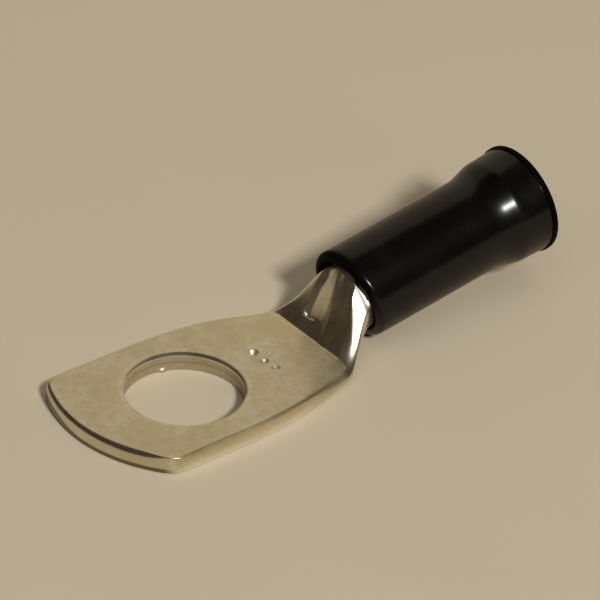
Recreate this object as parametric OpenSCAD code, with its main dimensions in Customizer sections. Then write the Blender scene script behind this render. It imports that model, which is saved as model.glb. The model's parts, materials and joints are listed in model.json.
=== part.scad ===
// Insulated cable lug: a copper tube with one end pressed flat into a palm, and a sleeve over its barrel.
// The palm's underside is the plane z = 0, the stud hole's axis is Z, and the barrel points along +X.

/* [Palm] */
// Diameter of the stud hole, clearance for a 10 mm stud
stud_hole_d = 10.5; // [8.4:0.1:11]
// Thickness of the palm, two tube walls pressed together
palm_t = 1.7; // [1.4:0.05:2.2]
// Width of the palm from the nose to the stud hole
palm_w = 16; // [15:0.1:18]
// Width of the palm where the neck begins
heel_w = 11.8; // [9:0.1:13]
// Distance from the stud hole's centre back to the neck
heel_reach = 13.7; // [11:0.1:18]
// Distance from the stud hole's centre forward to the nose
nose_reach = 10.7; // [9:0.1:14]
// Radius of the arc that the nose is cropped to
nose_r = 13.5; // [11:0.5:25]
// Sideways shift of the nose arc, from a crop that is a little out of square
nose_shift = 1.5; // [-1.5:0.1:1.5]
// Width of the seam that shows between the two walls at the nose
seam_gap = 0.12; // [0.08:0.01:0.25]
// Depth of that seam behind the cropped face
seam_depth = 0.35; // [0.15:0.05:0.8]

/* [Barrel] */
// Outer diameter of the tube
tube_d = 6.6; // [5.8:0.1:7.6]
// Bore of the tube, for the bared wire
wire_bore_d = 4.5; // [3.6:0.1:5]
// Length of the round barrel
barrel_len = 12.5; // [9:0.1:20]
// Angle in degrees by which the barrel rises away from the palm's plane
barrel_tilt = 8.5; // [0:0.5:12]

/* [Neck] */
// Length of the neck, from the palm to the round barrel
neck_len = 4.8; // [4:0.1:8]
// Depth of the groove that the press leaves beside the ridge of the neck's upper face
groove_depth = 0.65; // [0:0.05:0.7]
// Angle in degrees up the tube's side at which each crest of the neck starts
crest_angle = 40; // [30:1:60]

/* [Sleeve] */
// Wall of the sleeve over the barrel
sleeve_wall = 1.02; // [0.96:0.02:1.5]
// Radial clearance between the tube and the sleeve
sleeve_clearance = 0.03; // [0:0.01:0.1]
// Length by which the sleeve's front reaches over the round end of the neck
sleeve_overlap = 0.8; // [0.2:0.05:0.9]
// Amount by which the sleeve's bore opens at its front, for pushing it on
mouth_open = 0.25; // [0.2:0.01:0.3]
// Length of that opening
mouth_len = 1; // [0.8:0.1:2]
// Height at which the front of the sleeve clears the surface that the palm lies on
sleeve_lift = 0.13; // [0.05:0.01:1.5]
// Length by which the straight grip runs past the barrel's end
grip_past = 1.6; // [0.6:0.1:4]
// Length of the cone between the grip and the bell
cone_len = 2; // [1:0.1:5]
// Length of the bell up to the lip
bell_len = 2.8; // [2:0.1:10]
// Bore of the bell, for the cable's insulation
entry_bore_d = 7.8; // [7.2:0.1:11]
// Wall of the bell where it leaves the cone
bell_wall = 1; // [0.7:0.05:1.6]
// Amount by which the bell's wall thickens towards the lip
bell_taper = 0.1; // [0:0.05:0.5]
// Height of the end lip above the bell
lip_stand = 0.15; // [0.1:0.05:1]
// Length of the end lip
lip_len = 0.6; // [0.4:0.1:2]
// Radius of the rounding on the end lip
lip_r = 0.2; // [0.1:0.05:0.35]
// Length of the sleeve's bore past the barrel's end before it opens into the bell
throat_len = 0.4; // [0.2:0.1:1.2]
// Radius of the sleeve's rounded front rim
rim_r = 0.65; // [0.2:0.05:0.65]

/* [Hidden] */
tinned_metal = [0.70, 0.66, 0.53];
black_plastic = [0.07, 0.065, 0.07];

// Overlap that welds the neck to the palm and the barrel, and the small step that it leaves
weld_bite = 0.8;
weld_step = 0.02;
// Length of palm that runs on under the neck
heel_tail = 0.3;
// Margin by which cutting tools pass the faces that they cut
past = 1;
// How fast the neck narrows, as a power of the share of its length that is left
waist_power = 1.5;
// Points that steer the S-shaped rise of the neck, as shares of its length and of its height
ramp_point = [0.46, 0.2];
turn_point = [0.56, 0.93];
// Where the ridge and the groove run across the neck, at the palm and at the barrel,
// and the width of the groove's far slope
ridge_y = [-0.12, 0.08] * tube_d;
groove_y = [0.27, 0.29] * tube_d;
groove_back = 0.09 * tube_d;
// Share of the neck at which the groove starts, and the shares over which it deepens and dies out
groove_start = 0.1;
groove_in = 0.22;
groove_out = 0.3;
// Points round a section and sections along the neck, outside and in its pocket
skin_points = 72;
skin_steps = 16;
pocket_points = 36;
pocket_steps = 6;
round_fn = 96;
arc_steps = 6;

// Radius of the arcs by which the palm's sides draw in, from the stud hole to the heel
side_drop = (palm_w - heel_w) / 2;
side_r = (heel_reach ^ 2 + side_drop ^ 2) / (2 * side_drop);
// Where the nose arc is centred, and the barrel's root at the end of the neck
nose_x = nose_r - nose_reach;
root_x = heel_reach + neck_len;
tube_wall = (tube_d - wire_bore_d) / 2;
// Share of the neck at which its pocket has closed to a slit, how far the pocket lies behind the skin,
// and where the round bore starts past the root
pocket_start = 0.08;
pocket_back = 0.6;
bore_start = 0.9;
// Diameters and lengths of the sleeve that follow from the tube and from its walls
sleeve_bore_d = tube_d + 2 * sleeve_clearance;
sleeve_d = sleeve_bore_d + 2 * sleeve_wall;
bell_d = entry_bore_d + 2 * bell_wall;
bell_end_d = bell_d + 2 * bell_taper;
lip_d = bell_end_d + 2 * lip_stand;
grip_len = sleeve_overlap + barrel_len + grip_past;
sleeve_len = grip_len + cone_len + bell_len + lip_len;
// Height of the barrel's axis above the palm's underside, at the end of the neck
root_z = sleeve_lift + sleeve_d / 2 * cos(barrel_tilt) + sleeve_overlap * sin(barrel_tilt);

// A point in the barrel's own frame (x along its axis, z up) set in the part's frame
function on_barrel(p) = [
    root_x + p.x * cos(barrel_tilt) - p.z * sin(barrel_tilt),
    p.y,
    root_z + p.x * sin(barrel_tilt) + p.z * cos(barrel_tilt)
];

// A point of a flat section with round folds at its sides, for an angle round the tube that it came from
function flat_point(x, angle, half_w, low, high) =
    let (
        up = angle < 180 ? 1 : -1,
        side = cos(angle) >= 0 ? 1 : -1,
        lift = asin(min(1, abs(sin(angle)))),
        fold = (high - low) / 2,
        turn = min(1, lift / crest_angle) * 90,
        reach = lift < crest_angle
            ? half_w - fold + fold * cos(turn)
            : (half_w - fold) * (90 - lift) / (90 - crest_angle)
    )
    [x, side * reach, (low + high) / 2 + up * fold * sin(turn)];

// How far the neck has run and how far it has risen, for a share of the way along its S-shaped curve
function neck_curve(share) =
    3 * share * (1 - share) ^ 2 * ramp_point
    + 3 * share ^ 2 * (1 - share) * turn_point
    + share ^ 3 * [1, 1];

// A share held between 0 and 1, and a step that eases in and out
function held(share) = min(1, max(0, share));
function eased(share) = held(share) ^ 2 * (3 - 2 * held(share));

// Depth of the groove for a share of the neck's run and a place across it
function groove(run, y, depth) =
    let (
        ridge = ridge_y[0] + (ridge_y[1] - ridge_y[0]) * run,
        low = groove_y[0] + (groove_y[1] - groove_y[0]) * run,
        notch = held(min((y - ridge) / (low - ridge), (low + groove_back - y) / groove_back))
    )
    depth * notch * eased((run - groove_start) / groove_in) * eased((1 - run) / groove_out);

// A point of the neck: share 0 is the flat section and share 1 the round one
function neck_point(share, angle, flat, round, depth) =
    let (
        curve = neck_curve(share),
        y = flat.y + (round.y - flat.y) * (1 - (1 - curve[0]) ^ waist_power),
        dip = angle < 180 ? groove(curve[0], y, depth) : 0
    )
    [
        flat.x + (round.x - flat.x) * curve[0],
        y,
        flat.z + (round.z - flat.z) * curve[1] - dip
    ];

// A round section of the barrel, at a distance from its root
function barrel_ring(station, r, n) = [
    for (i = [0 : n - 1])
        let (angle = 360 * i / n)
        on_barrel([station, r * cos(angle), r * sin(angle)])
];

// A closed section of the neck, for a tube of radius r that is pressed to a flat of a half width and heights,
// set back along the barrel and grooved to a depth
function neck_ring(share, r, half_w, low, high, n, back, depth) = [
    for (i = [0 : n - 1])
        let (angle = 360 * i / n)
        neck_point(
            share, angle,
            flat_point(heel_reach + back, angle, half_w, low, high),
            on_barrel([back, r * cos(angle), r * sin(angle)]),
            depth
        )
];

// A solid skinned over a list of closed sections with the same number of points
module loft(rings) {
    n = len(rings[0]);
    last = len(rings) - 1;
    walls = [
        for (j = [0 : last - 1])
            for (i = [0 : n - 1])
                let (k = (i + 1) % n, a = j * n, b = a + n)
                each [[a + i, b + i, b + k], [a + i, b + k, a + k]]
    ];
    first_cap = [for (i = [1 : n - 2]) [0, i, i + 1]];
    last_cap = [for (i = [1 : n - 2]) [last * n, last * n + i + 1, last * n + i]];
    polyhedron(points = [for (ring = rings) each ring], faces = concat(first_cap, walls, last_cap));
}

// Sets its children, drawn along +Z, on the barrel's axis at a distance from the barrel's root
module along_barrel(station) {
    translate(on_barrel([station, 0, 0]))
        rotate([0, 90 - barrel_tilt, 0])
            children();
}

// A flat strip from a start line out to a round fold at its reach, the section of half a pressed tube
module folded_strip(reach) {
    square([reach - palm_t / 2, palm_t]);
    translate([reach - palm_t / 2, palm_t / 2])
        circle(d = palm_t, $fn = round_fn);
}

// The palm ahead of the stud hole, with straight folded sides
module straight_palm() {
    rotate([90, 0, -90])
        linear_extrude(height = nose_reach + past) {
            folded_strip(palm_w / 2);
            mirror([1, 0])
                folded_strip(palm_w / 2);
        }
}

// The palm behind the stud hole, the space shared by two discs with folded rims, ending under the neck
module narrowing_palm() {
    intersection() {
        translate([0, side_r - palm_w / 2, 0])
            rotate_extrude($fn = 360)
                folded_strip(side_r);
        translate([0, palm_w / 2 - side_r, 0])
            rotate_extrude($fn = 360)
                folded_strip(side_r);
        translate([0, -palm_w, -past])
            cube([heel_reach + heel_tail, 2 * palm_w, palm_t + 2 * past]);
    }
}

// The crop that rounds the nose: an arc ahead of its centre, and everything behind it
module nose_crop() {
    translate([nose_x, nose_shift, -past])
        cylinder(r = nose_r, h = palm_t + 2 * past, $fn = 360);
    translate([nose_x, -palm_w, -past])
        cube([heel_reach + palm_w, 2 * palm_w, palm_t + 2 * past]);
}

// The seam between the two walls, open at the nose from fold to fold
module nose_seam() {
    intersection() {
        translate([nose_x, nose_shift, (palm_t - seam_gap) / 2])
            difference() {
                cylinder(r = nose_r + past, h = seam_gap, $fn = 360);
                translate([0, 0, -past])
                    cylinder(r = nose_r - seam_depth, h = seam_gap + 2 * past, $fn = 360);
            }
        translate([-nose_reach - past, palm_t - palm_w / 2, 0])
            cube([nose_reach, palm_w - 2 * palm_t, palm_t]);
    }
}

// The flat palm, cropped at the nose, where the seam shows
module palm() {
    difference() {
        intersection() {
            union() {
                straight_palm();
                narrowing_palm();
            }
            nose_crop();
        }
        nose_seam();
    }
}

// The pressed neck: flat at the palm, round at the barrel, an S-shaped ramp with a groove beside its ridge
module neck() {
    r = tube_d / 2 - weld_step;
    half_w = heel_w / 2 - weld_step;
    low = weld_step;
    high = palm_t - weld_step;
    inside_palm = [
        for (i = [0 : skin_points - 1])
            flat_point(heel_reach - weld_bite, 360 * i / skin_points, half_w, low, high)
    ];
    loft(concat(
        [inside_palm],
        [
            for (j = [0 : skin_steps])
                neck_ring(j / skin_steps, r, half_w, low, high, skin_points, 0, groove_depth)
        ],
        [barrel_ring(weld_bite, r, skin_points)]
    ));
}

// The pocket inside the neck, where the bore is pressed down to a slit between the walls
module neck_pocket() {
    half_w = heel_w / 2 - 2 * tube_wall;
    low = (palm_t - seam_gap) / 2;
    high = (palm_t + seam_gap) / 2;
    r = wire_bore_d / 2 - weld_step;
    shares = [for (j = [0 : pocket_steps]) pocket_start + (1 - pocket_start) * j / pocket_steps];
    loft(concat(
        [for (share = shares) neck_ring(share, r, half_w, low, high, pocket_points, pocket_back, 0)],
        [barrel_ring(pocket_back + weld_bite, r, pocket_points)]
    ));
}

// The lug, one piece of tinned copper tube
module lug() {
    color(tinned_metal)
        difference() {
            union() {
                palm();
                neck();
                along_barrel(0)
                    cylinder(d = tube_d, h = barrel_len, $fn = round_fn);
            }
            translate([0, 0, -past])
                cylinder(d = stud_hole_d, h = palm_t + 2 * past, $fn = round_fn);
            along_barrel(bore_start)
                cylinder(d = wire_bore_d, h = barrel_len - bore_start + past, $fn = round_fn);
            neck_pocket();
        }
}

// Points of a quarter of a circle in the sleeve's profile, from one angle to the next
function quarter(centre, r, from) = [
    for (i = [0 : arc_steps])
        let (angle = from + 90 * i / arc_steps)
        centre + r * [cos(angle), sin(angle)]
];

// The moulded sleeve: grip, cone, bell and lip outside, barrel bore and funnel entry inside
module insulating_sleeve() {
    cone_end = grip_len + cone_len;
    bell_end = cone_end + bell_len;
    throat_end = sleeve_overlap + barrel_len + throat_len;
    lip_and_bores = concat(
        quarter([lip_d / 2 - lip_r, sleeve_len - lip_r], lip_r, 0),
        [[entry_bore_d / 2, sleeve_len]],
        [[entry_bore_d / 2, cone_end]],
        [[sleeve_bore_d / 2, throat_end]],
        [[sleeve_bore_d / 2, mouth_len]],
        [[sleeve_bore_d / 2 + mouth_open, 0]]
    );
    rim_to_bell = concat(
        quarter([sleeve_d / 2 - rim_r, rim_r], rim_r, 270),
        [[sleeve_d / 2, grip_len]],
        [[bell_d / 2, cone_end]],
        [[bell_end_d / 2, bell_end]],
        [[lip_d / 2, bell_end]]
    );
    color(black_plastic)
        along_barrel(-sleeve_overlap)
            rotate_extrude($fn = round_fn)
                polygon(concat(lip_and_bores, rim_to_bell));
}

lug();
insulating_sleeve();
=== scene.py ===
# %% [markdown]
# An insulated cable lug: a tinned copper tube whose front is pressed flat into a palm with a stud hole,
# and a black moulded sleeve over its barrel. The measured model comes in first as a fixed frame, and both
# pieces are rebuilt round it as finer skins. Every size below is in metres in that frame: the stud hole's
# axis is Z, the palm lies on z = 0, and the barrel points along +X.

# %% Load the frame
import json
import math

import bmesh
import bpy
import numpy as np
from mathutils import Matrix, Vector


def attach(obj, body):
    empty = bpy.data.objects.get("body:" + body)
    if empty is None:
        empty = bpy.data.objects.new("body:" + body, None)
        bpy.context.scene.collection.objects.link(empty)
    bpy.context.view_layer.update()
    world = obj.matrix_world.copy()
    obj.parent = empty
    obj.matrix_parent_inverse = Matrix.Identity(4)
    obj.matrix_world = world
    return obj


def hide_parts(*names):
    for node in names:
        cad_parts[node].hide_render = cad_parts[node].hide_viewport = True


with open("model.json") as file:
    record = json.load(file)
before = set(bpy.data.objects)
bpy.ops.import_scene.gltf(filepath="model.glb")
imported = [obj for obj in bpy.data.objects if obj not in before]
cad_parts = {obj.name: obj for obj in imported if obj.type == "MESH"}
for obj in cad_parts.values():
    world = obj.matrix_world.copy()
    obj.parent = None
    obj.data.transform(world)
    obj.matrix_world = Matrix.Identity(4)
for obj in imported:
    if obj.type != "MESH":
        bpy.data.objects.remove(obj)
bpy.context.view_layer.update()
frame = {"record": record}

mm = 0.001

# %% [markdown]
# The sizes that the model already states are read from its mounts, so the dressed pieces can't drift away
# from the solids. They could be typed in again, but then a change would have to be made twice. The stud
# hole gives the hole's radius and the palm's thickness, the wire barrel gives the tube's axis and bore,
# and the cable entry gives the sleeve's mouth.

# %% Sizes from the frame
mounts = {mount["name"]: mount for mount in frame["record"]["mounts"]}
hole_r = mounts["stud_hole"]["dims"]["r_mm"] * mm
palm_t = mounts["stud_hole"]["dims"]["length_mm"] * mm
bore_r = mounts["wire_barrel"]["dims"]["r_mm"] * mm
barrel_end = np.array(mounts["wire_barrel"]["pos_m"])
barrel_along = np.array(mounts["wire_barrel"]["axis"])
barrel_side = np.array([0.0, 1.0, 0.0])
barrel_up = np.cross(barrel_along, barrel_side)
entry_r = mounts["cable_entry"]["dims"]["r_mm"] * mm
print("hole radius", hole_r / mm, "palm", palm_t / mm, "bore radius", bore_r / mm)

# %% [markdown]
# Each piece is a few grids of points that share their borders. They could be modelled by hand from a
# cylinder and a plane, but a grid that is worked out as an array is exact and easy to change. One helper
# turns such grids into faces, welds the borders, and turns all faces outwards, so the piece is a closed
# skin, as the surface of a real part is.

# %% Grids into meshes
weld_distance = 0.0004 * mm


def grid_quads(rows, cols, first, wrap):
    """Four corners of each cell of a grid whose points are numbered row by row, wrapped round if asked."""
    numbers = first + np.arange(rows * cols).reshape(rows, cols)
    if wrap:
        numbers = np.hstack([numbers, numbers[:, :1]])
    corners = [numbers[:-1, :-1], numbers[:-1, 1:], numbers[1:, 1:], numbers[1:, :-1]]
    return np.stack(corners, axis=-1).reshape(-1, 4)


def skin(name, grids, crease_degrees):
    """A closed object from (points, wrap) grids: welded, faced outwards, smooth below the crease angle."""
    points, quads, count = [], [], 0
    for grid, wrap in grids:
        rows, cols = grid.shape[:2]
        points.append(grid.reshape(-1, 3))
        quads.append(grid_quads(rows, cols, count, wrap))
        count += rows * cols
    mesh = bpy.data.meshes.new(name)
    mesh.from_pydata(np.concatenate(points).tolist(), [], np.concatenate(quads).tolist())
    work = bmesh.new()
    work.from_mesh(mesh)
    bmesh.ops.remove_doubles(work, verts=work.verts, dist=weld_distance)
    bmesh.ops.dissolve_degenerate(work, edges=work.edges, dist=weld_distance)
    bmesh.ops.recalc_face_normals(work, faces=work.faces)
    open_edges = sum(len(edge.link_faces) != 2 for edge in work.edges)
    work.to_mesh(mesh)
    work.free()
    mesh.shade_smooth()
    mesh.set_sharp_from_angle(angle=math.radians(crease_degrees))
    piece = bpy.data.objects.new(name, mesh)
    bpy.context.scene.collection.objects.link(piece)
    print(name, len(mesh.polygons), "faces,", open_edges, "open edges")
    return piece


print("weld distance", weld_distance / mm, "mm")

# %% [markdown]
# The palm is a flattened tube, so its long sides are folds, and its nose is a shear cut. Seen from above,
# the sides run straight from the nose to the stud hole and then curve in to the heel, and the nose is an
# arc that was cut a little out of square. A drawn curve could be filled and extruded, but then every
# level would have the same outline. Here the same lines and arcs are drawn in by an inset for each level,
# and where two of them meet has a closed formula.

# %% The palm's outline
palm_w = 16.0 * mm
heel_w = 11.8 * mm
heel_x = 13.7 * mm
nose_reach = 10.7 * mm
nose_r = 13.5 * mm
nose_shift = 1.5 * mm
side_drop = (palm_w - heel_w) / 2
side_r = (heel_x**2 + side_drop**2) / (2 * side_drop)
nose_x = nose_r - nose_reach
curve_steps, straight_steps, nose_steps, heel_steps = 56, 44, 96, 88
edge_steps = 2 * (curve_steps + straight_steps) + nose_steps


def stretch(start, end, steps):
    """Equal steps of a value from start towards end for each level, the end itself left out."""
    return start[:, None] + (end - start)[:, None] * np.arange(steps) / steps


def side_curve(radius, hand, start, end, steps):
    """One side between the hole (share 0) and the heel (share 1): a circle that touches the straight."""
    heel_angle = np.arcsin(heel_x / radius)
    angle = stretch(start * heel_angle, end * heel_angle, steps)
    y = palm_w / 2 - side_r + radius[:, None] * np.cos(angle)
    return np.stack([radius[:, None] * np.sin(angle), hand * y], axis=-1)


def nose_corner_x(radius, y):
    """Where the nose's circle crosses a straight side: its middle less the other leg of its radius."""
    return nose_x - np.sqrt(radius**2 - (y - nose_shift) ** 2)


def nose_arc(radius, y_left, y_right, steps):
    """Points of the nose's circle from the left side to the right side, at equal angles."""
    start = np.pi - np.arcsin((y_left - nose_shift) / radius)
    end = np.pi - np.arcsin((y_right - nose_shift) / radius)
    angle = stretch(start, end, steps)
    return np.stack([
        nose_x + radius[:, None] * np.cos(angle), nose_shift + radius[:, None] * np.sin(angle),
    ], axis=-1)


def palm_outline(side_inset, nose_inset):
    """Closed outlines, one for each pair of insets: left side, nose, right side, then the heel line."""
    side, nose, half = side_r - side_inset, nose_r - nose_inset, palm_w / 2 - side_inset
    flat = np.zeros_like(half)
    heel_half = np.sqrt(side**2 - heel_x**2) + palm_w / 2 - side_r
    left_line = np.stack([
        stretch(flat, nose_corner_x(nose, half), straight_steps), stretch(half, half, straight_steps),
    ], axis=-1)
    right_line = np.stack([
        stretch(nose_corner_x(nose, -half), flat, straight_steps), stretch(-half, -half, straight_steps),
    ], axis=-1)
    heel_line = np.stack([
        np.full((len(half), heel_steps), heel_x), stretch(-heel_half, heel_half, heel_steps),
    ], axis=-1)
    return np.concatenate([
        side_curve(side, 1, 1, 0, curve_steps), left_line, nose_arc(nose, half, -half, nose_steps),
        right_line, side_curve(side, -1, 0, 1, curve_steps), heel_line,
    ], axis=1)


print("side arcs", round(side_r / mm, 1), "mm, nose arc", nose_r / mm, "mm")

# %% [markdown]
# Round the palm's edge runs one strip, from the top face down to the bottom. On the sides it is the fold
# of the tube: half a circle by the heel, and pressed tighter towards the nose. On the nose it is the cut
# face of two walls that lie on each other: the shear rolled the upper edge over, a hairline seam shows
# between the walls, and the lower edge is crisper. A Bevel modifier would round all edges alike, so each
# kind of edge has an inset of its own for every level of the strip.

# %% Profiles of the palm's edge
edge_levels = 41
fold_top = 0.33 * mm
fold_sharp = 0.1 * mm
fold_low = 0.3 * mm
roll_top = 0.5 * mm
roll_low = 0.26 * mm
seam_half = 0.05 * mm
seam_depth = 0.02 * mm

turn = np.linspace(0, np.pi, edge_levels)
edge_z = palm_t / 2 * (1 + np.cos(turn))


def rolled(distance, radius):
    """Inset of an edge rounded to a quarter circle: the radius less the leg left at a distance inside."""
    rest = np.clip(radius - distance, 0, radius)
    return radius - np.sqrt(radius**2 - rest**2)


def notch(distance, half, depth):
    """Inset of a rounded notch: its depth at no distance, and a bell curve of the distance from there."""
    return depth * np.exp(-((distance / half) ** 2))


round_fold = palm_t / 2 * (1 - np.sin(turn))
tight_fold = rolled(palm_t - edge_z, fold_top) + rolled(edge_z, fold_low)
sharp_fold = rolled(palm_t - edge_z, fold_sharp) + rolled(edge_z, fold_low)
cut_face = rolled(edge_z, roll_low) + notch(edge_z - palm_t / 2, seam_half, seam_depth)
rolled_face = cut_face + rolled(palm_t - edge_z, roll_top)
print("edge profiles of", edge_levels, "levels, the roll", roll_top / mm, "mm")

# %% [markdown]
# Every column of the strip blends those profiles by where it stands. The fold is round within reach of
# the heel, the nose is rolled over until near its right corner, and the upper edge is sharpest at that
# corner. Both corners of the nose are eased, as handling leaves them: each point there moves to the mean
# of its neighbours, which is what Blender's Smooth does, but only where it is wanted.

# %% The palm's edge
ease_steps = 5
fade_steps = 22
heel_reach = 34


def smooth(share):
    """A step from 0 to 1 that starts and ends level: three squares of the share less two cubes."""
    share = np.clip(share, 0, 1)
    return share**2 * (3 - 2 * share)


def eased_nose(lines):
    """Outlines with eased nose corners: near a corner each point moves to the mean of its neighbours."""
    shifts = range(-ease_steps, ease_steps + 1)
    mean = sum(np.roll(lines, shift, axis=1) for shift in shifts) / len(shifts)
    corners = curve_steps + straight_steps + np.array([0, nose_steps])
    away = np.abs(np.arange(lines.shape[1])[:, None] - corners).min(axis=1)
    return lines + (mean - lines) * np.clip(2 - away / ease_steps, 0, 1)[:, None]


tight_lines = palm_outline(tight_fold, cut_face)
column = np.arange(tight_lines.shape[1])
nose_end = curve_steps + straight_steps + nose_steps
roll_share = smooth((nose_end - column) / fade_steps)[:, None]
heel_share = smooth(1 - np.minimum(column, edge_steps - column) / heel_reach)[:, None]
corner_share = 1 - smooth(np.abs(column - nose_end) / fade_steps)[:, None]

outlines = tight_lines + (palm_outline(tight_fold, rolled_face) - tight_lines) * roll_share
outlines += (palm_outline(round_fold, cut_face) - tight_lines) * heel_share
outlines += (palm_outline(sharp_fold, cut_face) - tight_lines) * corner_share
outlines = eased_nose(outlines)
print("outlines", outlines.shape[:2])

# %% [markdown]
# By the heel's corners the upper side droops a little towards the folds, because the metal there already
# follows the round tube behind it. A sculpting brush could push it down. Here it is a smooth step of the
# distance from the side, and every level of the strip shares the droop in proportion to its height.

# %% The drooping shoulders
droop_depth = 0.4 * mm
droop_w = 1.9 * mm
droop_from = 7.5 * mm


def side_distance(x, y):
    """How far a point lies inside the palm's sides: the arc's radius less the distance from its middle."""
    return side_r - np.hypot(np.clip(x, 0, None), np.abs(y) + side_r - palm_w / 2)


def shoulder(xy):
    """Droop of the upper side by the heel's corners: it grows towards the heel and towards the fold."""
    x, y = xy[..., 0], xy[..., 1]
    heelward = smooth((x - droop_from) / (heel_x - droop_from))
    return droop_depth * heelward * smooth(1 - side_distance(x, y) / droop_w)


edge_height = edge_z[:, None] * (1 - shoulder(outlines) / palm_t)
edge = np.concatenate([outlines, edge_height[..., None]], axis=-1)
edge_strip = edge[:, : edge_steps + 1]
print("edge strip", edge_strip.shape[:2], "lowest shoulder", round(edge[0, :, 2].min() / mm, 2), "mm")

# %% [markdown]
# The two faces of the palm are sheets of rays from the stud hole's rim to the outline, so the hole needs
# no Boolean cut, which would leave long thin faces. The upper sheet is a little uneven, as pressed metal
# is, and carries three plain round punch marks near the heel: a bowl with a raised rim, worked out from
# the distance to each mark.

# %% The palm's faces
top_rows, low_rows = 64, 12
dish_w = 0.42 * mm
hole_round = 0.08 * mm
wave_height = 0.006 * mm
# Each wave turns by so many radians a millimetre along x and y, from a starting angle.
waves = ((0.9, 0.5, 0.0), (0.55, -1.1, 1.3))
fade_steep = 6
mark_points = np.array([[8.19, 0.9], [8.25, -0.72], [8.41, -2.09]]) * mm
mark_r = np.array([0.52, 0.42, 0.46]) * mm
mark_depth = np.array([0.42, 0.25, 0.18]) * mm
bowl_power = 1.5
rim_height, rim_at, rim_half = 0.03 * mm, 1.15, 0.22

ray_ways = edge[0, :, :2] / np.linalg.norm(edge[0, :, :2], axis=1)[:, None]


def sheet(border, rows, rim_r):
    """Rays from the hole's rim to a border, straight and in equal steps."""
    rim = np.concatenate([ray_ways * rim_r, border[:, 2:]], axis=1)
    return rim + (border - rim) * np.linspace(0, 1, rows)[:, None, None]


def punch_marks(xy):
    """Height of the punch marks: a bowl inside each mark's radius, and a raised bell curve round it."""
    away = np.linalg.norm(xy[..., None, :] - mark_points, axis=-1) / mark_r
    bowl = -mark_depth * np.clip(1 - away**2, 0, None) ** bowl_power
    rim = rim_height * np.exp(-(((away - rim_at) / rim_half) ** 2))
    return (bowl + rim).sum(axis=-1)


def unevenness(xy):
    """Shallow waves of the pressed face: a sum of two slow sines that cross each other."""
    x, y = xy[..., 0] / mm, xy[..., 1] / mm
    return wave_height * sum(np.sin(by_x * x + by_y * y + start) for by_x, by_y, start in waves)


top_sheet = sheet(edge[0], top_rows, hole_r + dish_w)
low_sheet = sheet(edge[-1], low_rows, hole_r + hole_round)
top_xy = top_sheet[..., :2]
top_share = np.linspace(0, 1, top_rows)[:, None]
fade = np.clip(fade_steep * top_share * (1 - top_share), 0, 1)
top_sheet[..., 2] = palm_t - shoulder(top_xy) + fade * (punch_marks(top_xy) + unevenness(top_xy))
print("top sheet", top_sheet.shape[:2], "low sheet", low_sheet.shape[:2])

# %% [markdown]
# The stud hole is punched through both walls from above, so its upper rim is drawn down into a shallow
# dish, and the punch left a small burr at the foot of its wall. A Boolean and a Bevel could make the
# hole, but not the burr. Here the hole's profile is a list of radii at falling heights, carried round on
# the rays of the two sheets, so that it meets both without a gap.

# %% The stud hole's wall
dish_depth = 0.18 * mm
dish_power = 2 / 3
dish_levels, wall_levels = 9, 31
burr_turn = math.radians(73.5)
burr_z = 0.15 * mm
burr_len = 0.5 * mm
burr_high = 0.34 * mm
burr_depth = 0.18 * mm

dish_z = palm_t - dish_depth * np.linspace(0, 1, dish_levels)
wall_z = np.linspace(palm_t - dish_depth, hole_round, wall_levels)
hole_z = np.concatenate([dish_z, wall_z[1:], [0.0]])


def dished(distance):
    """Inset of the drawn rim: widest at the face and none at the dish's depth, a power of the distance."""
    return dish_w * (1 - np.clip(distance / dish_depth, 0, 1) ** dish_power)


def burr(z):
    """A small lump at the wall's foot: highest at its middle, level at its rim, gone at the very bottom."""
    burr_way = [math.cos(burr_turn), math.sin(burr_turn)]
    around = hole_r * np.arccos(np.clip(ray_ways @ burr_way, -1, 1))
    away = np.hypot(around / burr_len, (z[:, None] - burr_z) / burr_high)
    return burr_depth * smooth(1 - away) * smooth(z[:, None] / hole_round)


hole_radius = hole_r + dished(palm_t - hole_z) + rolled(hole_z, hole_round)
hole_wall = np.concatenate([
    ray_ways * (hole_radius[:, None] - burr(hole_z))[..., None],
    np.broadcast_to(hole_z[:, None, None], (len(hole_z), len(ray_ways), 1)),
], axis=-1)
print("hole wall", hole_wall.shape[:2])

# %% [markdown]
# The neck is where the press turned a round tube into a flat palm, and it gives the lug its look.
# Blender's Bridge tool could join the two ends, but it knows nothing of how metal is pressed. Here each
# point of the flat section at the heel belongs to an angle round the tube, and the rows between take it
# from its flat place to its round one.

# %% The neck's two ends
tube_r = 3.3 * mm
barrel_len = 12.5 * mm
crest = math.radians(40)
root = barrel_end - barrel_len * barrel_along

heel_top, heel_low = edge[0, edge_steps:], edge[-1, edge_steps:]
fold_left, fold_right = edge[:, 0], edge[:, edge_steps]
heel_ring = np.concatenate([heel_top, fold_left, heel_low[::-1], fold_right[-2:0:-1]])

across = 2 * np.arange(heel_steps) / heel_steps - 1
top_angle = np.pi / 2 - across * (np.pi / 2 - crest)
fold_angle = crest * np.linspace(1, -1, edge_levels)
ring_angle = np.concatenate([
    top_angle, fold_angle, -top_angle[::-1], np.pi - fold_angle[-2:0:-1],
])


def barrel_ring(station, radius):
    """A circle round the barrel's axis at a distance from its root, with a point for each ring angle."""
    spoke = np.cos(ring_angle)[:, None] * barrel_side + np.sin(ring_angle)[:, None] * barrel_up
    return root + station * barrel_along + radius * spoke


print("heel ring", len(heel_ring), "points, barrel's root at", np.round(root / mm, 2).tolist())

# %% [markdown]
# Seen from the side, the neck is a short ramp from the crease, a steep face, and a turn into the barrel.
# Seen from above, its width closes early, but it is held back at first, so that the palm's sides run on a
# little past the crease, as they do on a pressed tube. A Lattice could bend a plain loft into this. Two
# formulas are easier to fit to the real one: a Bezier curve for the height, and a power with a hump for
# the width.

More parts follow.
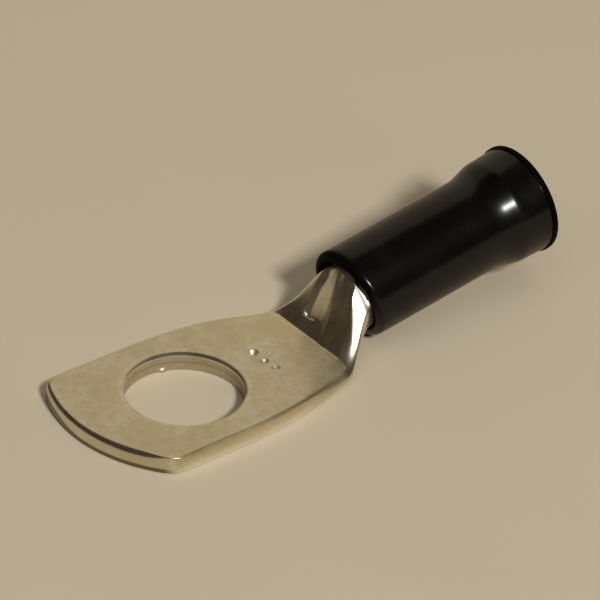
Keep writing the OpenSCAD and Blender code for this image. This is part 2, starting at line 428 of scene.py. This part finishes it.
# %% How the neck rises and narrows
ramp_point = np.array([0.46, 0.2])
turn_point = np.array([0.56, 0.93])
waist_power = 1.5
waist_ease = 0.9
waist_start = 0.2


def neck_curve(share):
    """A Bezier curve from (0, 0) to (1, 1): how far a row has come along the neck, and how far up."""
    ramp, turn_in = 3 * share * (1 - share) ** 2, 3 * share**2 * (1 - share)
    return ramp * ramp_point + turn_in * turn_point + share**3


def narrowed(along):
    """Share of the narrowing: a power of the way left, less a hump near the start that holds it back."""
    held_back = waist_ease * along * (1 - along) * np.exp(-along / waist_start)
    return 1 - (1 - along) ** waist_power - held_back


print("half-way along, the neck has narrowed by", round(narrowed(0.5), 2))

# %% [markdown]
# The press left marks of its own on the steep face. A ridge runs up it, with a groove on its left, and
# the face on its right is a straighter ramp. The top is drawn in more than the sides, early on the right
# and late on the left. They could be sculpted, but as smooth functions of the way along and the place
# across, each can be moved or made deeper by one number.

# %% What the press left on the neck
ridge_y = np.array([-0.8, 0.5]) * mm
groove_y = np.array([1.8, 1.9]) * mm
groove_back = 0.6 * mm
groove_depth = 0.65 * mm
groove_start, groove_in, groove_out = 0.2, 0.1, 0.3
straight_y = np.array([-2.4, -1.6]) * mm
straight_in = 0.8 * mm
straight_share = 0.5
crest_taper = 0.08
# This factor makes the peak of the hump along * along * (1 - along) equal to 1.
taper_peak = 27 / 4


def part_way(ends, along):
    """A value on the straight line between two ends."""
    return ends[0] + (ends[1] - ends[0]) * along


def groove(along, y):
    """Depth of the groove: it falls from the ridge to its line, rises behind, and fades at both ends."""
    ridge, low = part_way(ridge_y, along), part_way(groove_y, along)
    fall, rise = (y - ridge) / (low - ridge), (low + groove_back - y) / groove_back
    ends = smooth((along - groove_start) / groove_in) * smooth((1 - along) / groove_out)
    return groove_depth * np.clip(np.minimum(fall, rise), 0, 1) * ends


def straightened(along, y):
    """Share by which the face is a straight ramp: it grows beyond the ridge and ends at the far crest."""
    beyond = smooth((part_way(ridge_y, along) - y) / straight_in)
    return straight_share * beyond * smooth((y - straight_y[0]) / (straight_y[1] - straight_y[0]))


def drawn_in(along, y):
    """Share by which the top is drawn in: a hump, early on the right side and late on the left."""
    return crest_taper * taper_peak * along * (1 - along) * np.where(y < 0, 1 - along, along)


print("groove", groove_depth / mm, "mm deep, top drawn in by", crest_taper)

# %% [markdown]
# The neck's skin is a loft: rings of points at equal steps from the flat heel to the round barrel. One
# function makes any ring, and the loft stacks them. The rings of the outside carry the marks of the
# press. The pocket inside uses the same function without them, so the two walls can't drift apart.

# %% The neck's rows
neck_rows = 72


def neck_row(share, flat, round_ring, pressed):
    """A row of the neck: each point goes from flat to round, and the press marks the upper half."""
    along, risen = neck_curve(share)
    x = flat[:, 0] + (round_ring[:, 0] - flat[:, 0]) * along
    y = flat[:, 1] + (round_ring[:, 1] - flat[:, 1]) * narrowed(along)
    top = pressed * (np.sin(ring_angle) > 0)
    up = risen + top * straightened(along, y) * (along - risen)
    z = flat[:, 2] + (round_ring[:, 2] - flat[:, 2]) * up - top * groove(along, y)
    upper = pressed * np.clip(np.sin(ring_angle) / math.sin(crest), 0, 1)
    return np.stack([x, y * (1 - drawn_in(along, y) * upper), z], axis=-1)


neck_shares = np.linspace(0, 1, neck_rows)
tube_ring = barrel_ring(0, tube_r)
neck_skin = np.stack([neck_row(share, heel_ring, tube_ring, 1) for share in neck_shares])
print("neck", neck_skin.shape[:2])

# %% [markdown]
# Along the neck's right crest the press left a narrow flat, which mirrors the lamp as a bright strip. It
# could be cut with Bisect. Here every point that reaches further than a plane, measured for each row from
# its furthest point, is moved back to it, and a soft corner keeps the edges of the flat from looking
# filed.

# %% The flat on the right crest
flat_way = np.array([-0.373, -0.697, 0.613])
flat_depth = 0.75 * mm
flat_soft = 0.05 * mm
flat_power = 2.4
flat_in, flat_out = 0.3, 0.2

neck_run = np.stack([neck_curve(share)[0] for share in neck_shares])[:, None]
reach = neck_skin @ flat_way
over = reach - reach.max(axis=1, keepdims=True) + flat_depth * neck_run**flat_power - flat_soft
cut = (over + np.hypot(over, flat_soft)) / 2
cut *= smooth(neck_run / flat_in) * smooth((1 - neck_run) / flat_out)
neck_skin -= cut[..., None] * flat_way
print("deepest cut", round(cut.max() / mm, 2), "mm")

# %% [markdown]
# Past the neck the tube is plain and runs inside the sleeve to a cut end. The same rings then turn
# inwards over the end and go back down the bore, so the wall has its real thickness without a Solidify
# modifier. Inside the neck the bore is squeezed to a slit, by the same rule as the outside, and closes on
# itself.

# %% The barrel, the bore and the pocket in the neck
end_round = 0.15 * mm
slit_start = 0.08
slit_half = 0.06 * mm
pocket_back = 0.6 * mm
pocket_rows = 16
tube_wall = tube_r - bore_r

outer_rows = [(barrel_len * share, tube_r) for share in (0, 0.3, 0.7)]
bore_rows = [(barrel_len * share, bore_r) for share in (0.6, 0.3)]
barrel_profile = [
    *outer_rows, (barrel_len - end_round, tube_r), (barrel_len, tube_r - end_round),
    (barrel_len, bore_r + end_round), (barrel_len - end_round, bore_r), *bore_rows, (pocket_back, bore_r),
]
barrel_skin = np.stack([barrel_ring(station, radius) for station, radius in barrel_profile])

# The slit ends two walls short of the fold on each side.
slit_y = heel_ring[:, 1] * (1 - 4 * tube_wall / heel_w)
slit_z = palm_t / 2 + slit_half * np.sin(ring_angle)
slit_x = np.full_like(slit_y, heel_x + pocket_back)
slit_ring = np.stack([slit_x, slit_y, slit_z], axis=-1)
slit_end = np.stack([slit_x, slit_y, np.full_like(slit_y, palm_t / 2)], axis=-1)
pocket_root = barrel_ring(pocket_back, bore_r)
pocket_shares = np.linspace(1, slit_start, pocket_rows)
pocket_skin = np.stack([neck_row(share, slit_ring, pocket_root, 0) for share in pocket_shares] + [slit_end])
print("barrel and bore", barrel_skin.shape[:2], "pocket", pocket_skin.shape[:2])

# %% [markdown]
# All these grids are one tube on the real lug, so they become one object. Separate objects would be
# simpler to list, but the shading would break at each border. The piece rides on the part's body, and
# the measured solid of the lug is hidden.

# %% The lug as one piece
lug = skin("lug_tinned", [
    (top_sheet, True),
    (low_sheet, True),
    (hole_wall, True),
    (edge_strip, False),
    (neck_skin, True),
    (barrel_skin, True),
    (pocket_skin, True),
], crease_degrees=50)
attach(lug, "root")
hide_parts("lug")

# %% [markdown]
# The finish changes near the palm's edges, and these zones follow the shape, so no noise texture can
# place them. The mesh carries them instead, as point attributes that the shader reads. They start from
# how far each point lies from the side arcs, from the nose's arc and from the hole, and from whether it
# is on the hole's wall or on a fold.

# %% Distances from the palm's edges
line_half = 0.25 * mm
fold_from, fold_fade = 0.1 * mm, 0.3 * mm
points = np.empty(3 * len(lug.data.vertices))
lug.data.vertices.foreach_get("co", points)
x, y, z = points.reshape(-1, 3).T

side_in = side_distance(x, y)
nose_in = np.where(x < 0, nose_r - np.hypot(x - nose_x, y - nose_shift), palm_w)
hole_in = np.hypot(x, y) - hole_r
on_wall = smooth((palm_t - z) / dish_depth - 1) * (hole_in < line_half)
on_fold = (1 - smooth((side_in - fold_from) / fold_fade)) * smooth((heel_x - x) / mm)
print("points on the hole's wall:", int((on_wall > 0.5).sum()), "on the folds:", int((on_fold > 0.5).sum()))

# %% [markdown]
# The press polished the folds, the shear polished the nose, and the punch polished the hole's dish. By the
# heel the folds are worn to a warm olive. Along each fold the colour also carries painted light: painted
# shade darkens its top, where it mirrors dark surroundings, and a painted reflection of the floor lightens
# its foot. Such zones could be painted as vertex weights. Worked out from the distances, they follow the
# shape when a size changes.

# %% Where the tin is polished, worn, or painted with shade and reflection
polish_w = 0.5 * mm
side_polish = 0.35
side_polish_end, side_polish_fade = 8.0 * mm, 4.0 * mm
painted_reflection_height = 0.8 * palm_t
worn_from, worn_reach = 5.0 * mm, 6.0 * mm
worn_heel, fold_top_shade = 0.75, 0.95

near_side, near_nose, near_hole = (
    1 - smooth((inside - line_half) / polish_w) for inside in (side_in, nose_in, hole_in)
)
polished_side = side_polish * near_side * (1 - smooth((x - side_polish_end) / side_polish_fade))
polished = np.maximum.reduce([polished_side, near_nose, near_hole * (1 - on_wall)])
# Painted reflection: the foot of each fold is made lighter, where it mirrors the floor.
painted_fold_reflection = on_fold * smooth(1 - z / painted_reflection_height)
heel_wear = worn_heel * near_side * smooth((x - worn_from) / worn_reach)
# Real wear by the heel, joined with painted shade that darkens the top of each fold.
heel_wear_and_fold_shade = np.maximum(heel_wear, fold_top_shade * on_fold * z / palm_t)
print("polished points:", int((polished > 0.5).sum()), "worn points:", int((heel_wear_and_fold_shade > 0.5).sum()))

# %% [markdown]
# The shear bared the nose's cut face, which is faintly browned, with a darker brown band at its foot, and
# the punch bared the hole's wall, browned most along the joint of the two walls. Painted shade raises the
# nose's band towards its left corner, where the cut face turns away from the lamp, and darkens the end of
# the hole's wall that faces away from the lamp. These zones are worked out in the same way, and all four
# are then written to the mesh.

# %% Where copper is bared, and where shade is painted
# Heights of the nose's dark band: at its middle, and at the left corner, where painted shade reaches
# higher.
nose_copper_and_shade_heights = np.array([0.6, 1.3]) * mm
nose_fade, nose_line_fade = 0.2 * mm, 0.1 * mm
bare_nose, bare_wall, shaded_end_share, bare_joint = 0.2, 0.42, 0.38, 0.2
shaded_end_way = math.radians(-40)
joint_half = 0.1 * mm

# Towards the left corner the band rises as painted shade, where the cut face turns away from the lamp.
copper_and_shade_height = part_way(nose_copper_and_shade_heights, smooth(y / (palm_w / 2)))
nose_copper_and_shade = np.maximum(smooth((copper_and_shade_height - z) / nose_fade), bare_nose)
nose_copper_and_shade *= smooth((line_half - nose_in) / nose_line_fade) * smooth((y + palm_w / 2) / mm)
# Painted shade on the end of the hole's wall that faces away from the lamp.
shaded_end = smooth(2 * (x * math.cos(shaded_end_way) + y * math.sin(shaded_end_way)) / np.hypot(x, y) - 1)
joint = notch(z - palm_t / 2, joint_half, bare_joint)
bared = np.maximum(nose_copper_and_shade, on_wall * (bare_wall + shaded_end_share * shaded_end + joint))

for name, share in (("polished", polished), ("bared", bared), ("painted_fold_reflection", painted_fold_reflection), ("heel_wear_and_fold_shade", heel_wear_and_fold_shade)):
    lug.data.attributes.new(name, "FLOAT", "POINT").data.foreach_set("value", share)
print("bared points:", int((bared > 0.5).sum()))

# %% [markdown]
# The sleeve is a turned form, as from a mould: a profile carried round the barrel's axis. The Screw
# modifier could turn a drawn curve, but a list of corners is easier to read and to change. Each corner
# has a radius and is rounded to an arc, because a moulded part has no sharp edges, and the arcs catch the
# light.

# %% The sleeve's profile
sleeve_overlap = 0.8 * mm
mouth_open = 0.25 * mm
mouth_len = 1.0 * mm
sleeve_bore_r = 3.33 * mm
sleeve_r = 4.35 * mm
bell_r = 4.9 * mm
bell_end_r = 5.0 * mm
lip_r = 5.15 * mm
grip_len = 14.9 * mm
cone_len = 2.0 * mm
bell_len = 2.8 * mm
lip_len = 0.6 * mm
throat_len = 0.4 * mm
cone_end = grip_len + cone_len
bell_end = cone_end + bell_len
sleeve_len = bell_end + lip_len
throat_end = barrel_len + sleeve_overlap + throat_len

sleeve_corners = np.array([
    (mouth_len, sleeve_bore_r), (0, sleeve_bore_r + mouth_open), (0, sleeve_r), (grip_len, sleeve_r),
    (cone_end, bell_r), (bell_end, bell_end_r), (bell_end, lip_r), (sleeve_len, lip_r),
    (sleeve_len, entry_r), (cone_end, entry_r), (throat_end, sleeve_bore_r),
])
corner_radii = np.array([1.0, 0.04, 0.65, 6.0, 2.0, 0.06, 0.12, 0.2, 0.2, 1.0, 1.0]) * mm
corner_steps = 9


def rounded_corners(corners, radii, steps):
    """A closed outline whose corners are arcs that touch both sides, their middles on the bisectors."""
    back = np.roll(corners, 1, axis=0) - corners
    ahead = np.roll(corners, -1, axis=0) - corners
    back /= np.linalg.norm(back, axis=1)[:, None]
    ahead /= np.linalg.norm(ahead, axis=1)[:, None]
    half = np.arccos(np.clip((back * ahead).sum(axis=1), -1, 1)) / 2
    middle = back + ahead
    middle /= np.linalg.norm(middle, axis=1)[:, None]
    centre = corners + middle * (radii / np.sin(half))[:, None]
    share = np.linspace(1, -1, steps)[:, None]
    swing = share * (np.pi / 2 - half)
    toward = np.sign(back[:, 0] * ahead[:, 1] - back[:, 1] * ahead[:, 0])
    cos, sin = np.cos(swing), np.sin(swing) * toward
    spoke = np.stack([
        -middle[:, 0] * cos + middle[:, 1] * sin, -middle[:, 1] * cos - middle[:, 0] * sin,
    ], axis=-1)
    arcs = centre + spoke * radii[:, None]
    return arcs.transpose(1, 0, 2).reshape(-1, 2)


sleeve_profile = rounded_corners(sleeve_corners, corner_radii, corner_steps)
print("sleeve profile", len(sleeve_profile), "points, length", round(sleeve_len / mm, 2), "mm")

# %% [markdown]
# The sleeve's front was trimmed a little out of square. A Shear could tilt it, but that would lean the
# whole sleeve. So the profile is first carried round the axis, and then each ray is moved along the axis
# by a cosine and a sine of its angle, by less and less along the grip.

# %% The sleeve as one piece
sleeve_rays = 256
lean_back, lean_side, lean_up = 0.12 * mm, -0.25 * mm, -0.5 * mm
lean_reach = 6 * mm
ray_angle = np.arange(sleeve_rays) * 2 * np.pi / sleeve_rays


def revolved(profile, start):
    """A profile of (distance along, radius) carried round the barrel's axis from a starting point."""
    spoke = np.cos(ray_angle)[:, None] * barrel_side + np.sin(ray_angle)[:, None] * barrel_up
    along = profile[:, 0][:, None, None] * barrel_along
    return start + along + profile[:, 1][:, None, None] * spoke


closed_profile = np.vstack([sleeve_profile, sleeve_profile[:1]])
sleeve_front = root - sleeve_overlap * barrel_along
sleeve_rows = revolved(closed_profile, sleeve_front)
front_lean = lean_back + lean_side * np.cos(ray_angle) + lean_up * np.sin(ray_angle)
near_front = 1 - smooth(closed_profile[:, 0] / lean_reach)
sleeve_rows += (near_front[:, None] * front_lean)[..., None] * barrel_along
sleeve = skin("sleeve_black", [(sleeve_rows, True)], crease_degrees=60)
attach(sleeve, "root")
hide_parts("insulating_sleeve")

# %% [markdown]
# Shader maths reads best as arithmetic. Nodes could be placed and linked one by one, but then a sum takes
# five lines. A small class wraps a socket, so that a sum or a product of two wrapped values adds the Math
# node for it. One method makes any other node, and a few helpers name the nodes that both finishes use.

# %% Shader arithmetic
class Wire:
    """A socket of a node tree. Arithmetic on wires adds Math nodes, and make() adds any other node."""

    def __init__(self, tree, socket=None):
        self.tree, self.socket = tree, socket

    def make(self, kind, settings=None, sockets=None, out=0):
        """A node of a kind, with its settings first and then the values or links of its sockets."""
        node = self.tree.nodes.new(kind)
        for key, value in (settings or {}).items():
            setattr(node, key, value)
        for key, value in (sockets or {}).items():
            if isinstance(value, Wire):
                self.tree.links.new(value.socket, node.inputs[key])
            else:
                node.inputs[key].default_value = value
        return Wire(self.tree, node.outputs[out])

    def feed(self, shader, name):
        """Link this wire to a socket of the shader."""
        self.tree.links.new(self.socket, shader.inputs[name])

    def _math(self, operation, first, second):
        """A Math node on two values, either of which may be a plain number."""
        return self.make("ShaderNodeMath", {"operation": operation}, {0: first, 1: second})

    def __add__(self, other):
        return self._math("ADD", self, other)

    def __radd__(self, other):
        return self._math("ADD", other, self)

    def __sub__(self, other):
        return self._math("SUBTRACT", self, other)

    def __rsub__(self, other):
        return self._math("SUBTRACT", other, self)

    def __mul__(self, other):
        return self._math("MULTIPLY", self, other)

    def __rmul__(self, other):
        return self._math("MULTIPLY", other, self)


def new_finish(name):
    """A material with one Principled shader: returns the material, its shader and a first wire."""
    material = bpy.data.materials.new(name)
    material.use_nodes = True
    return material, material.node_tree.nodes["Principled BSDF"], Wire(material.node_tree)


def noise(wire, place, scale, detail, roughness):
    """Noise from 0 to 1 at so many cells to a millimetre."""
    return wire.make(
        "ShaderNodeTexNoise", {"noise_dimensions": "3D"},
        {"Vector": place, "Scale": scale / mm, "Detail": detail, "Roughness": roughness}, "Fac",
    )


def carried(wire, name):
    """A value that the mesh carries at its points."""
    return wire.make("ShaderNodeAttribute", {"attribute_name": name}, None, "Fac")


def band(wire, value, low, high):
    """A smooth step from 0 at low to 1 at high."""
    return wire.make(
        "ShaderNodeMapRange", {"interpolation_type": "SMOOTHSTEP", "clamp": True},
        {"Value": value, "From Min": low, "From Max": high, "To Min": 0.0, "To Max": 1.0},
    )


def mixed(wire, share, first, second):
    """Two colours mixed by a share."""
    return wire.make(
        "ShaderNodeMix", {"data_type": "RGBA"}, {"Factor": share, 6: first, 7: second}, 2,
    )


print("wires add, subtract and multiply")

# %% [markdown]
# Tin over copper is a soft white metal that dulls unevenly. Its colour drifts between two warm greys in
# patches of a few millimetres, with an olive mottle of about a millimetre and small specks. Over that lie
# the zones that the mesh carries: worn tin by the heel, browned copper where it was bared, painted shade
# at the top of the folds, on the nose's left end and at the far end of the hole's wall, and a painted
# reflection of the floor at the foot of the folds. A painted image could hold all this, but noise in
# Object coordinates needs no file and has no seam.

# %% Tinned copper: colour
tinned, tin_shader, w = new_finish("tinned_copper_satin")
place = w.make("ShaderNodeTexCoord", out="Object")
patches = noise(w, place, scale=0.35, detail=3.0, roughness=0.6)
mottle = noise(w, place, scale=1.1, detail=3.0, roughness=0.6)
specks = noise(w, place, scale=3.0, detail=2.0, roughness=0.6)
along_x = w.make("ShaderNodeSeparateXYZ", None, {"Vector": place}, "X")
palm_fade = 12.8 * mm, 13.9 * mm
palm_share = 1.0 - band(w, along_x, *palm_fade)

warm_tin = (0.77, 0.69, 0.53, 1)
pale_tin = (0.85, 0.80, 0.675, 1)
olive_tin = (0.67, 0.62, 0.39, 1)
dull_tin = (0.60, 0.54, 0.40, 1)
painted_reflection_tin = (0.96, 0.94, 0.88, 1)
worn_and_shaded_tin = (0.57, 0.485, 0.25, 1)
brown_copper_and_shade = (0.20, 0.15, 0.08, 1)
olive_share, speck_share, wear_and_shade_share = 0.48, 0.3, 0.8
base = mixed(w, band(w, patches, 0.35, 0.65), warm_tin, pale_tin)
base = mixed(w, band(w, mottle, 0.42, 0.66) * olive_share, base, olive_tin)
base = mixed(w, band(w, specks, 0.6, 0.75) * speck_share, base, dull_tin)
# Painted reflection of the floor at the foot of the folds.
base = mixed(w, carried(w, "painted_fold_reflection"), base, painted_reflection_tin)
# Wear by the heel, and painted shade at the top of the folds.
base = mixed(w, wear_and_shade_share * carried(w, "heel_wear_and_fold_shade") * palm_share, base, worn_and_shaded_tin)
# Browned bared copper, and painted shade on the nose's left end and the hole wall's far end.
base = mixed(w, carried(w, "bared"), base, brown_copper_and_shade)
base.feed(tin_shader, "Base Color")
print("colours:", len(tinned.node_tree.nodes), "nodes")

# %% [markdown]
# The gloss drifts with the colour. The palm's faces are duller than its polished edges and than the neck,
# which the press slid along. One roughness for all of it would look like paint, so it is a sum of the
# same noises and zones. A fine grain and the slow patches in the bump break up the reflections.

# %% Tinned copper: gloss and grain
tin_rough, patch_rough, speck_rough, palm_rough = 0.2, 0.12, 0.06, 0.18
grain = noise(w, place, scale=9.0, detail=2.0, roughness=0.5)
dulled = palm_rough * palm_share * (1.0 - carried(w, "polished"))
(tin_rough + patch_rough * patches + speck_rough * specks + dulled).feed(tin_shader, "Roughness")

grain_high, speck_high, patch_high = 0.6, 0.5, 4.0
relief = w.make("ShaderNodeBump", None, {
    "Strength": 0.25, "Distance": 0.02 * mm,
    "Height": grain_high * grain + speck_high * specks + patch_high * patches,
}, "Normal")
relief.feed(tin_shader, "Normal")
tin_shader.inputs["Metallic"].default_value = 1.0
lug.data.materials.append(tinned)
print("finish:", tinned.name)

# %% [markdown]
# The sleeve is moulded in black plastic with a low sheen. Its colour is nearly flat on the real thing, so
# the life comes from gloss that wanders a little and from a fine moulded grain. The sheen is a clear
# coat, which gives a sharper highlight over a dull black. The trimmed front and the lip have none, so the
# coat is told how far along the barrel's axis each point lies.

# %% Black moulded plastic
black, black_shader, w = new_finish("black_moulded_plastic")
place = w.make("ShaderNodeTexCoord", out="Object")
drift = noise(w, place, scale=0.4, detail=3.0, roughness=0.6)
mould_grain = noise(w, place, scale=6.0, detail=2.0, roughness=0.5)

ink = (0.0012, 0.001, 0.0009, 1)
worn_ink = (0.0028, 0.0024, 0.0022, 1)
mixed(w, band(w, drift, 0.4, 0.7), ink, worn_ink).feed(black_shader, "Base Color")

along_axis = w.make(
    "ShaderNodeVectorMath", {"operation": "DOT_PRODUCT"}, {0: place, 1: barrel_along.tolist()}, "Value",
)
station = along_axis - float(sleeve_front @ barrel_along)
front_fade = 0.05 * mm, 0.7 * mm
lip_fade = bell_end - 0.1 * mm, bell_end
coat_weight, sleeve_rough, drift_rough = 0.6, 0.4, 0.1
coated = band(w, station, *front_fade) - band(w, station, *lip_fade)
(coat_weight * coated).feed(black_shader, "Coat Weight")
(sleeve_rough + drift_rough * drift).feed(black_shader, "Roughness")

relief = w.make("ShaderNodeBump", None, {
    "Strength": 0.2, "Distance": 0.01 * mm, "Height": mould_grain,
}, "Normal")
relief.feed(black_shader, "Normal")
black_shader.inputs["Coat Roughness"].default_value = 0.2
black_shader.inputs["Specular IOR Level"].default_value = 0.02
sleeve.data.materials.append(black)
print("finish:", black.name)

# %% [markdown]
# The lug lies on a plain khaki sheet. A curved backdrop could stand behind it, but the camera looks down
# and sees only the sheet, so a wide flat mesh is enough, with a colour that hardly changes.

# %% The floor
floor_half = 1.2
floor_grid = np.stack(np.meshgrid([-floor_half, floor_half], [-floor_half, floor_half]), axis=-1)
floor_points = np.concatenate([floor_grid, np.zeros((2, 2, 1))], axis=-1).reshape(-1, 3)
floor_mesh = bpy.data.meshes.new("floor_sheet")
floor_mesh.from_pydata(floor_points.tolist(), [], [[0, 1, 3, 2]])
floor = bpy.data.objects.new("floor_sheet", floor_mesh)
bpy.context.scene.collection.objects.link(floor)

khaki, khaki_shader, w = new_finish("khaki_sheet")
place = w.make("ShaderNodeTexCoord", out="Object")
cloud = noise(w, place, scale=0.03, detail=2.0, roughness=0.5)
light_khaki = (0.472, 0.407, 0.293, 1)
deep_khaki = (0.462, 0.399, 0.287, 1)
mixed(w, band(w, cloud, 0.3, 0.7), light_khaki, deep_khaki).feed(khaki_shader, "Base Color")
khaki_shader.inputs["Roughness"].default_value = 0.9
khaki_shader.inputs["Specular IOR Level"].default_value = 0.0
floor.data.materials.append(khaki)
print("floor", 2 * floor_half, "m wide")

# %% [markdown]
# The camera stands where the photograph was taken from: high in front of the nose, to the right of the
# palm, and far enough away for nearly parallel lines. It looks at a point between the palm and the
# sleeve, and rolls by a few degrees. A Track To constraint could aim it, but a matrix also holds the
# roll.

# %% The camera
camera_azimuth = math.radians(-40.11)
camera_elevation = math.radians(33.92)
camera_roll = math.radians(2.91)
camera_distance = 432.15 * mm
camera_target = Vector((11.03 * mm, -1.745 * mm, 7.6 * mm))
toward_camera = Vector((
    math.sin(camera_azimuth) * math.cos(camera_elevation),
    -math.cos(camera_azimuth) * math.cos(camera_elevation),
    math.sin(camera_elevation),
))
camera_data = bpy.data.cameras.new("photo_camera")
camera_data.sensor_width = 36.0
camera_data.lens = 300.0
camera_data.clip_end = 10.0
camera = bpy.data.objects.new("photo_camera", camera_data)
turned = toward_camera.to_track_quat("Z", "Y").to_matrix() @ Matrix.Rotation(camera_roll, 3, "Z")
camera.matrix_world = Matrix.Translation(camera_target + toward_camera * camera_distance) @ turned.to_4x4()
bpy.context.scene.collection.objects.link(camera)
bpy.context.scene.camera = camera
print("camera at", np.round(np.array(camera.location) / mm, 1).tolist())

# %% [markdown]
# One compact lamp stands to the right of the camera, low enough to throw a short shadow behind the
# sleeve. A wide warm panel behind is what the palm mirrors, a soft panel above fills the shadows, and a
# dim surround leaves the ramp of the neck dark. An environment picture could do all this at once, but
# each lamp here has one job and can be changed by itself.

# %% Light
def panel(name, toward, distance, size, power, colour):
    """A square area lamp in a direction from the lug, turned to face it."""
    lamp_data = bpy.data.lights.new(name, "AREA")
    lamp_data.size, lamp_data.energy, lamp_data.color = size, power, colour
    lamp = bpy.data.objects.new(name, lamp_data)
    facing = Vector(toward).normalized()
    turned_to = facing.to_track_quat("Z", "Y").to_matrix().to_4x4()
    lamp.matrix_world = Matrix.Translation(camera_target + facing * distance) @ turned_to
    bpy.context.scene.collection.objects.link(lamp)
    return lamp


key = panel(
    "key_lamp", toward=(-0.17, -0.744, 0.646), distance=1.4, size=0.18, power=19.8,
    colour=(1.0, 0.985, 0.955),
)
back = panel(
    "back_panel", toward=(0.6, 0.6, 0.5), distance=0.6, size=0.75, power=0.84,
    colour=(1.0, 0.86, 0.58),
)
fill = panel(
    "fill_panel", toward=(-0.3, -0.3, 1.0), distance=1.6, size=1.95, power=10.4,
    colour=(0.97, 0.965, 1.0),
)
fill.visible_glossy = False

dim_brown = (0.042, 0.031, 0.021, 1)
world = bpy.data.worlds.new("dim_room")
world.use_nodes = True
world.node_tree.nodes["Background"].inputs["Color"].default_value = dim_brown
bpy.context.scene.world = world
bpy.context.scene.view_settings.view_transform = "Standard"
print("lamps:", key.name, back.name, fill.name)
